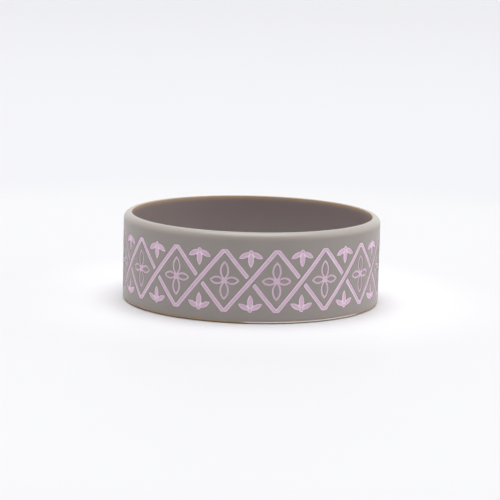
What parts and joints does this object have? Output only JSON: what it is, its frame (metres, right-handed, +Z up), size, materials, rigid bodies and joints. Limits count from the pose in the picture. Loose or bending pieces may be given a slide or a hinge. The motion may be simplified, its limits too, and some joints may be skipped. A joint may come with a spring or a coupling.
{
  "type": "silicone wristband",
  "caption": "Closed, one-piece moulded silicone wristband with rounded edges and a debossed, colour-filled interlaced line ornament round the outside",
  "frame": {"origin": "centre of the ring at the level that the band rests on, its lower edge", "axes": "+Z up along the band's axis, the way the wrist goes through; -Y towards the viewer of the picture and +X to the viewer's right"},
  "size_m": [0.0664, 0.0664, 0.0225],
  "materials": {
    "silicone": "matt warm grey silicone",
    "colour_fill": "matt lilac silicone ink"
  },
  "bodies": {
    "root": {"band": "silicone", "strand_fill_01": "colour_fill", "strand_fill_02": "colour_fill", "strand_fill_03": "colour_fill", "strand_fill_04": "colour_fill", "strand_fill_05": "colour_fill", "strand_fill_06": "colour_fill", "strand_fill_07": "colour_fill", "strand_fill_08": "colour_fill", "strand_fill_09": "colour_fill", "strand_fill_10": "colour_fill", "strand_fill_11": "colour_fill", "strand_fill_12": "colour_fill", "strand_fill_13": "colour_fill", "strand_fill_14": "colour_fill", "strand_fill_15": "colour_fill", "strand_fill_16": "colour_fill", "flower_fill_01": "colour_fill", "flower_fill_02": "colour_fill", "flower_fill_03": "colour_fill", "flower_fill_04": "colour_fill", "flower_fill_05": "colour_fill", "flower_fill_06": "colour_fill", "flower_fill_07": "colour_fill", "flower_fill_08": "colour_fill", "flower_fill_09": "colour_fill", "flower_fill_10": "colour_fill", "flower_fill_11": "colour_fill", "flower_fill_12": "colour_fill", "flower_fill_13": "colour_fill", "flower_fill_14": "colour_fill", "flower_fill_15": "colour_fill", "flower_fill_16": "colour_fill", "upper_sprig_fills": "colour_fill", "lower_sprig_fills": "colour_fill"}
  },
  "joints": []
}
